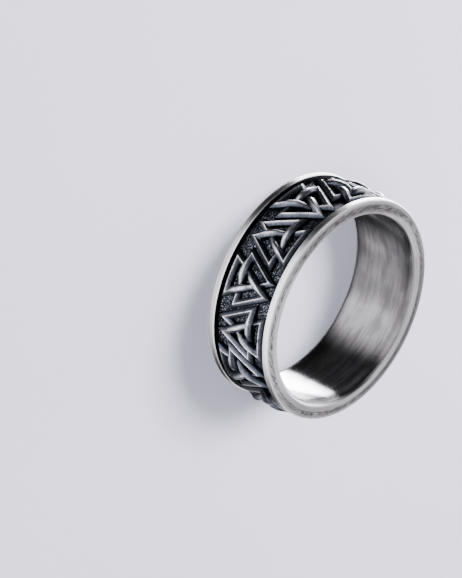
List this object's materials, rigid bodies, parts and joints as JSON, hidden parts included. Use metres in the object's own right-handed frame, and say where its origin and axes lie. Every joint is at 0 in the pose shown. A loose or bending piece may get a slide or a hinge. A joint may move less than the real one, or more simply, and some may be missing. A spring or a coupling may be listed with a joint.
{
  "type": "valknut ring",
  "caption": "Wide finger ring in darkened silver: two plain raised rims and a sunk channel with raised, interwoven triangle knots; smooth rounded finger hole.",
  "frame": {"origin": "centre of the ring's lower side face, where the finger hole's axis meets the surface that the ring lies on", "axes": "+Z along the finger hole's axis, upwards as the ring lies on its side; +X through the middle of one figure whose base is at the lower rim"},
  "size_m": [0.0242, 0.024, 0.0079],
  "materials": {
    "darkened_silver": "cast sterling silver, darkened in the recesses, satin on the rims"
  },
  "bodies": {
    "root": {"ring_band": "darkened_silver"}
  },
  "joints": []
}
